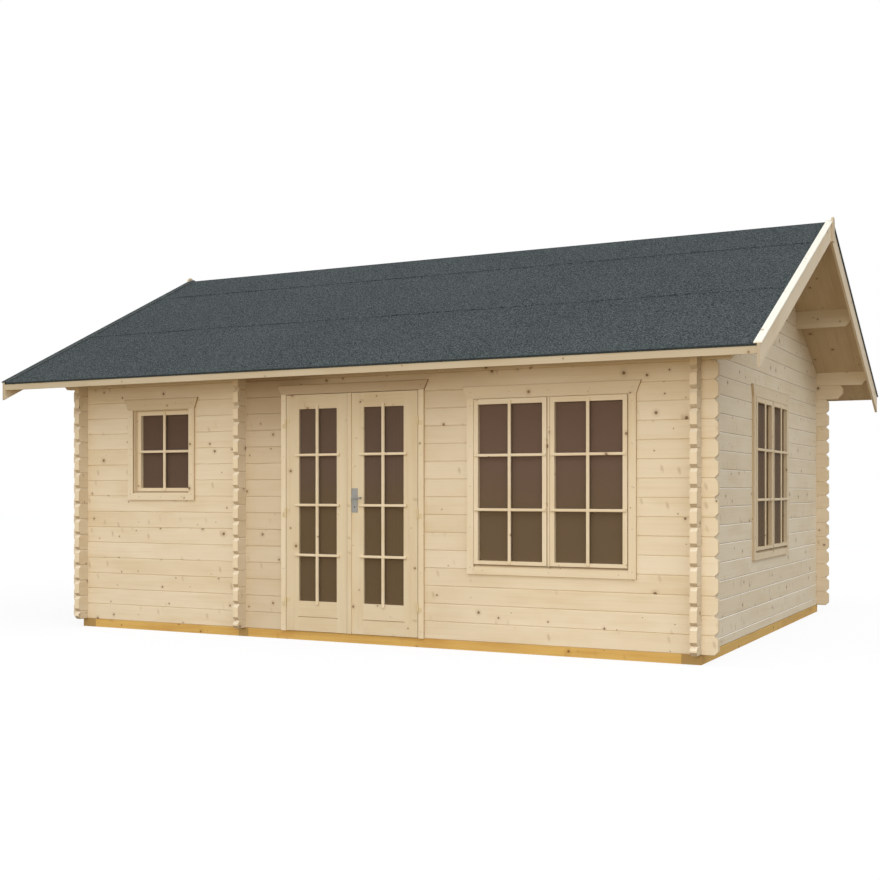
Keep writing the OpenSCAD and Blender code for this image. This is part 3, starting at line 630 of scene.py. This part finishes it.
def heads(centres, outward, radius, rise):
    """Low domes of nails and screws: rings of eight points at radius * cos(0.85 t) and height rise * sin(t)
    over each centre along outward, for t up to a quarter turn, closed by a flat top and a flat face below.
    """
    outward = np.asarray(outward, float)
    side = np.array([-outward[1], outward[0], 0.0])
    up = np.array([0.0, 0.0, 1.0])
    sides = 8
    turn = np.linspace(0, 2 * math.pi, sides, endpoint=False)
    lift = np.array([0.0, 0.5, 1.0])
    flatness = np.cos(lift * math.pi / 2 * 0.85)
    ring = np.cos(turn)[:, None] * side + np.sin(turn)[:, None] * up
    heights = np.sin(lift * math.pi / 2) * rise
    rings = flatness[:, None, None] * radius * ring + heights[:, None, None] * outward
    dome = np.concatenate([rings.reshape(-1, 3), (rise * outward)[None]])
    around = np.arange(sides)
    after = np.roll(around, -1)
    wall = np.stack([around, after, after + sides, around + sides], axis=1)
    cap = np.stack([around + 2 * sides, after + 2 * sides, np.full(sides, 3 * sides)], axis=1)
    faces = np.concatenate([wall, wall + sides]).tolist() + cap.tolist() + [around[::-1].tolist()]
    return gathered(*[(dome + centre, faces) for centre in np.asarray(centres, float)])


nail_radius, head_rise = 0.0036, 0.0010
nail_inset, foot_inset = 0.05, 0.1


def casing_nails(node, flat, side_out, side_w, head, foot):
    """Nails up both side boards of a casing, and along its head and foot boards, on its outer face."""
    low, high = np.array(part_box(node))
    face = low[1] if flat == 0 else high[0]
    level, up = np.eye(3)[flat], np.eye(3)[2]
    outward = np.array([0.0, -1.0, 0.0]) if flat == 0 else np.array([1.0, 0.0, 0.0])
    left, right = low[flat] + side_out + side_w / 2, high[flat] - side_out - side_w / 2
    heights = np.linspace(low[2] + nail_inset, high[2] - head - nail_inset, 5)
    spots = [(x, z) for x in (left, right) for z in heights]
    spots += [(x, high[2] - head / 2) for x in np.linspace(left, right, 5)]
    if foot:
        spots += [(x, low[2] + foot / 2) for x in np.linspace(left + foot_inset, right - foot_inset, 3)]
    spots = np.array(spots)
    centres = spots[:, :1] * level + spots[:, 1:] * up + face * abs(outward)
    return heads(centres, outward, nail_radius, head_rise)


def galvanised(place, facing):
    """Hot-dipped zinc: a dull warm grey with a cloudy spangle."""
    spangle = place.noise(260.0)
    colour = place.blend(spangle, tint(136, 126, 108), tint(168, 158, 138))
    return {"Base Color": colour, "Metallic": 0.3, "Roughness": 0.5 + spangle * 0.2}


def cased(node, side, head, flat, head_shade):
    """A casing's boards, with painted shade on their sawn side edges and along the top of the head. The last
    argument is how much more painted shade the head board gets than the other boards.
    """
    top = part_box(node)[1][2]
    boards_run = round_opening(node, head_slant + side, head, flat)

    def edge(place, facing):
        # Painted shade: over the head board, along its top edge, and on the side edges.
        head_board_shade = (place[2] > top - head) * head_shade
        top_edge_shade = place[2].ease(top - 0.008, top - 0.004)
        side_edge_shade = abs(facing[flat]).ease(0.5, 0.8)
        return head_board_shade + top_edge_shade * 0.3 + side_edge_shade * 0.3

    return coat(node + "_spruce", marked(planed(boards_run, **trim), edge, tint(142, 112, 72)))


def sashed(node, flat, middle_post):
    """A window's lining and sashes, with painted shade in the slit between the sill and the sash's foot."""
    clear = 0.0005
    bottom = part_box(node)[0][2] + lining
    boards_run = round_opening(node, lining + sash_stile, lining, flat, middle_post)

    # Painted shade in the slit over the sill.
    def slit(place, facing):
        return (place[2] > bottom + clear) * (place[2] < bottom + sash_foot - clear) * 0.6

    return coat(node + "_spruce", marked(planed(boards_run, **trim), slit, tint(104, 80, 54)))


zinc = coat("galvanised_nail", galvanised)
small_sash_inset = 0.042
wall_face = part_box("front_wall_left")[0][1]
sash_faces = {"front_window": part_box("front_window")[0][1], "small_window": wall_face + small_sash_inset,
              "side_window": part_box("side_window")[1][0]}
between = 2 * sash_stile + post
# The last number of each is how much painted shade darkens that casing's head board under the eave.
for name, panes, rows, flat, head_shade in (("front_window", 2, 3, 0, 0.14), ("small_window", 1, 2, 0, 0.22),
                                           ("side_window", 2, 3, 1, 0.05)):
    casing = name + "_casing"
    dress(cased(casing, casing_side, window_head, flat, head_shade), casing)
    dress(sashed(name, flat, (panes - 1) * between), name)
    bars = pane_bars(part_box(name + "_glass"), panes, between, 2, rows, sash_faces[name], flat, bar_ends,
                     bar_depth - gable_bars_thinner * flat)
    fit(name + "_bars", bars, wood(name + "_bar_spruce", bars_run(flat), **trim), "cottage", "trim")
    nails = casing_nails(casing, flat, head_slant, casing_side, window_head, casing_side)
    fit(casing + "_nails", nails, zinc, "cottage", "hinge_steel")


# Glass
# Panes of clear float glass are set into the sashes and the door leaves. The dim room behind them, with the
# brown of the wood inside, is painted on them as shade, and they are partly opaque.
def pane(name, high_up, low_down):
    """Float glass, very slightly wavy and partly opaque, with the dim room behind it painted on as shade. Its
    colour changes from eye level to the sill, and it shows a few of the knots in the far wall.
    """
    def paint(place, facing):
        x, y, z = place.parts()
        wave = place.noise(3.0)
        haze = place.joined(x + y, z).noise(2.2, 3.0)
        behind = place.blend((z + haze * 0.5 - 0.25).ease(1.45, 0.95), high_up, low_down)
        far_knots = place.joined((x + y) * 6.0, z * 6.0).cells(1.0)
        pick, _, _ = far_knots.also("Color").parts()
        behind = behind.under(far_knots.ease(0.065, 0.03) * (pick < 0.30) * 0.4, tint(62, 46, 34))
        return {"Base Color": behind, "Roughness": 0.06, "Alpha": 0.72, "Specular IOR Level": 0.003,
                "Normal": wave.bump(0.0006, 0.15)}
    return coat(name, paint)


dress(pane("wide_window_glass", tint(119, 97, 82), tint(117, 98, 74)), "front_window_glass")
dress(pane("small_window_glass", tint(110, 90, 76), tint(110, 90, 71)), "small_window_glass")
dress(pane("gable_window_glass", tint(122, 96, 66), tint(122, 97, 64)), "side_window_glass")
dress(pane("door_glass", tint(110, 91, 77), tint(112, 93, 68)), "left_door_glass", "right_door_glass")


# Double door
# A spruce frame with a stop, a nailed casing with a slanted head, and two framed leaves. A strip on the
# right leaf covers the meeting edge. The bars are planted on the outside, as on the windows.
door_head = 0.076
door_casing_side = 0.046
door_post = 0.028
door_stop = 0.015
door_bar_ends = (0.030, 0.024, 0.024)
door_bar_depth = 0.018
leaf_middle = 1.0
rail_joint = 0.187
rail_tenon = 0.012
strip_shade = 0.007
strip_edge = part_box("meeting_strip")[0][0]
leaf_trim = dict(trim, pale=tint(219, 203, 171), deep=tint(203, 180, 139), branchy=0.25)


def leaf_run(glass):
    """Boards of a leaf: upright stiles beside the glass, and level rails, the bottom one of two boards."""
    low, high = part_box(glass)
    middle = (low[0] + high[0]) / 2

    def run(place, facing):
        x, _, z = place
        up = abs(x - middle) > (high[0] - low[0]) / 2
        along = x + (z - x) * up
        across = z + (x - z) * up + place[1]
        rail = (z > leaf_middle) * 4.0 + (z > rail_joint) * 2.0
        board = up * ((x > middle) * 3.0 + 2.0) + rail * (1 - up)
        return along, across, board + low[0], facing[0] * (1 - up) + facing[2] * up, (place[1], across)

    return run


def leaf_wood(node, glass):
    """A leaf's boards, with the dark line of the joint between the two boards of the bottom rail."""
    low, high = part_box(glass)
    middle, half = (low[0] + high[0]) / 2, (high[0] - low[0]) / 2 + rail_tenon

    def joint(place, facing):
        return abs(place[2] - rail_joint).ease(0.005, 0.001) * (abs(place[0] - middle) < half) * 0.5

    leaf_boards = planed(leaf_run(glass), **leaf_trim)
    return coat(node + "_spruce", marked(leaf_boards, joint, tint(132, 104, 72)))


def strip_edge_shade(place, facing):
    """Painted shade along the left edge of the meeting strip, a little darker."""
    return place[0].ease(strip_edge + strip_shade, strip_edge) * 0.6


# The door casing's head board gets the deepest painted shade, under the eave.
dress(cased("door_casing", door_casing_side, door_head, 0, 0.46), "door_casing")
dress(wood("door_frame_spruce", round_opening("door_frame", door_post + door_stop, door_post, 0), **trim),
      "door_frame")
strip = marked(planed(upright, **leaf_trim), strip_edge_shade, tint(150, 116, 76))
dress(coat("meeting_strip_spruce", strip), "meeting_strip")
fit("door_casing_nails", casing_nails("door_casing", 0, head_slant, door_casing_side, door_head, 0.0), zinc,
    "cottage", "hinge_steel")
for side in ("left", "right"):
    leaf, glass = side + "_door_leaf", side + "_door_glass"
    dress(leaf_wood(leaf, glass), leaf)
    bars = pane_bars(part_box(glass), 1, 0.0, 2, 4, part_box(leaf)[0][1], 0, door_bar_ends, door_bar_depth)
    fit(side + "_door_bars", bars, wood(side + "_door_bar_spruce", bars_run(0), **trim),
        side + "_leaf", "trim")


# Hinges, lock plates and handle
# Lift-off hinges of yellow-passivated steel carry the leaves. Satin steel plates are screwed to both sides
# of the right leaf, with a lever each and a keyhole below it.
def brushed(name, colour, rough, metal):
    """Steel with fine upright brush marks: noise drawn out along Z."""
    def paint(place, facing):
        x, y, z = place.parts()
        marks = place.joined((x + y) * 900.0, z * 25.0).noise(1.0)
        worn = place.blend(marks * 0.35, colour, tint(120, 118, 112))
        return {"Base Color": worn, "Metallic": metal, "Roughness": rough + marks * 0.2,
                "Normal": marks.bump(0.0001, 0.3)}
    return coat(name, paint)


passivated = brushed("passivated_steel", tint(222, 200, 154), 0.4, 0.35)
satin = brushed("satin_steel", tint(157, 156, 150), 0.5, 0.45)
dress(passivated, "left_leaf_hinges", "right_leaf_hinges", "frame_hinges")
dress(satin, "lock_plates", "door_handle")
screw_out, screw_inset, screw_radius = 0.017, 0.012, 0.0038
plate_low, plate_high = np.array(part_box("lock_plates"))
plate_x = (plate_low[0] + plate_high[0]) / 2
plate_sides = ((plate_low[1], (0, -1, 0)), (plate_high[1], (0, 1, 0)))
corner_spots = [(plate_x + across, z) for across in (-screw_out, screw_out)
                for z in (plate_low[2] + screw_inset, plate_high[2] - screw_inset)]
lock_screws = [heads([(x, y, z) for x, z in corner_spots], outward, screw_radius, head_rise)
               for y, outward in plate_sides]
fit("lock_screws", gathered(*lock_screws), zinc, "right_leaf", "lock_steel")


def shadowed(place, facing):
    """The dark inside of a keyhole, rubbed by the key."""
    rub = place.noise(400.0)
    colour = place.blend(rub, tint(34, 32, 30), tint(62, 58, 52))
    return {"Base Color": colour, "Roughness": 0.6 + rub * 0.2, "Metallic": 0.4}


keyhole_z = plate_low[2] + 0.045
keyhole_slot, keyhole_radius, keyhole_rise = 0.006, 0.0045, 0.0008
keyholes = [heads([(plate_x, y, keyhole_z), (plate_x, y, keyhole_z - keyhole_slot)], outward,
                  keyhole_radius, keyhole_rise) for y, outward in plate_sides]
fit("keyholes", gathered(*keyholes), coat("keyhole_dark", shadowed), "right_leaf", "lock_steel")

hinge_heights = np.array([0.230, 0.945, 1.660])
hinge_plate, knuckle = 0.003, 0.007
screw_up, hinge_screw = 0.018, 0.0034
leaf_screws, frame_screws = (0.007, 0.018), (0.016, 0.027)
for side, sign in (("left", 1), ("right", -1)):
    low, high = np.array(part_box(side + "_leaf_hinges"))
    plate_face = high[1] - hinge_plate
    edge = high[0] if side == "left" else low[0]
    hinge_axis = low[0] + knuckle if side == "left" else high[0] - knuckle
    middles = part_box(side + "_door_leaf")[0][2] + hinge_heights
    on_leaf = [(edge - sign * across, plate_face, z + screw_up) for z in middles for across in leaf_screws]
    on_frame = [(hinge_axis - sign * across, plate_face, z - screw_up)
                for z in middles for across in frame_screws]
    fit(side + "_leaf_hinge_screws", heads(on_leaf, (0, -1, 0), hinge_screw, head_rise), passivated,
        side + "_leaf", "hinge_steel")
    fit(side + "_frame_hinge_screws", heads(on_frame, (0, -1, 0), hinge_screw, head_rise), passivated,
        "cottage", "hinge_steel")


# Studio
# A pale floor and white surroundings, lit by a slightly cool sky, stronger in front and at the upper right,
# by two soft lamps in front, one low enough to reach in under the eave, and by one behind. The camera, gloss
# and glass see plain white, and a little warm light comes back from the floor.
def seen(anything):
    """1 for rays from the camera or by way of gloss or glass, 0 for the rays that light the object."""
    ray = anything.node("ShaderNodeLightPath", {}, {})
    total = ray + ray.also("Is Glossy Ray") + ray.also("Is Transmission Ray")
    return anything.math("MINIMUM", total, 1.0)


sky = bpy.data.worlds.new("studio_sky")
bpy.context.scene.world = sky
sky.use_nodes = True
sky.node_tree.nodes.clear()
way = Pigment(sky.node_tree, sky.node_tree.nodes.new("ShaderNodeTexCoord").outputs["Generated"])
east, north, height = way.parts()
from_front = north.ease(0.1, -0.7)
from_back = north.ease(-0.1, 0.7)
from_right = (east * 0.60 + height * 0.75 - north * 0.25).ease(0.45, 1.0)
low_right = east.ease(0.2, 0.9) * height.ease(0.4, 0.05)
light = 0.45 + from_front * 0.57 + from_right * 1.04 - from_back * 0.17 - low_right * 0.24
white = seen(way)
strength = light * (1 - white) + white
plain_white = (1.0, 1.0, 1.0, 1.0)
cool = way.blend(white, (0.97, 1.0, 1.07, 1.0), plain_white)
shine = way.node("ShaderNodeBackground", {}, {"Color": cool, "Strength": strength})
way.node("ShaderNodeOutputWorld", {}, {"Surface": shine})

floor_half = 40.0
floor_mesh = bpy.data.meshes.new("studio_floor")
floor_corners = [(-floor_half, -floor_half, 0), (floor_half, -floor_half, 0),
                 (floor_half, floor_half, 0), (-floor_half, floor_half, 0)]
floor_mesh.from_pydata(floor_corners, [], [(0, 1, 2, 3)])
floor = bpy.data.objects.new("studio_floor", floor_mesh)
bpy.context.scene.collection.objects.link(floor)
pale_floor = bpy.data.materials.new("pale_floor")
pale_floor.use_nodes = True
pale_floor.node_tree.nodes.clear()
spot = Pigment(pale_floor.node_tree, pale_floor.node_tree.nodes.new("ShaderNodeTexCoord").outputs["Object"])
matt_colour = spot.blend(seen(spot), (0.29, 0.22, 0.14, 1.0), plain_white)
matt = spot.node("ShaderNodeBsdfDiffuse", {}, {"Color": matt_colour})
glow = spot.node("ShaderNodeEmission", {}, {"Color": plain_white, "Strength": 1.01})
soft = spot.node("ShaderNodeMixShader", {}, {0: seen(spot) * 0.86, 1: matt, 2: glow})
spot.node("ShaderNodeOutputMaterial", {}, {"Surface": soft})
floor_mesh.materials.append(pale_floor)


def lamp(name, power, colour, size, place, tilt, turn):
    """A soft rectangular lamp that isn't seen itself: its width and height, its place, its tilt and turn."""
    light_box = bpy.data.lights.new(name, "AREA")
    light_box.energy = power
    light_box.color = colour
    light_box.shape = "RECTANGLE"
    light_box.size, light_box.size_y = size
    stand = bpy.data.objects.new(name, light_box)
    stand.location = place
    stand.rotation_euler = (math.radians(tilt), 0, math.radians(turn))
    stand.visible_camera = False
    bpy.context.scene.collection.objects.link(stand)


daylight, evening = (1.0, 0.98, 0.95), (1.0, 0.86, 0.66)
lamp("softbox", 340.0, daylight, (7.0, 4.5), (2.4, -16.0, 3.2), 81, 3)
lamp("low_softbox", 205.0, evening, (6.0, 1.1), (3.0, -14.0, 0.85), 90, 8)
lamp("fill_softbox", 520.0, daylight, (7.0, 4.5), (0.0, 16.0, 3.2), 81, 180)

picture_width = 880
lens = bpy.data.cameras.new("photograph")
lens.sensor_width = 36.0
lens.lens = 51.35
lens.shift_y = 50.3 / picture_width
camera = bpy.data.objects.new("photograph", lens)
camera.location = (5.07486, -10.63710, 1.20070)
camera.rotation_euler = (math.radians(90), 0, math.radians(26.922))
bpy.context.scene.collection.objects.link(camera)
bpy.context.scene.camera = camera
bpy.context.scene.view_settings.view_transform = "Standard"
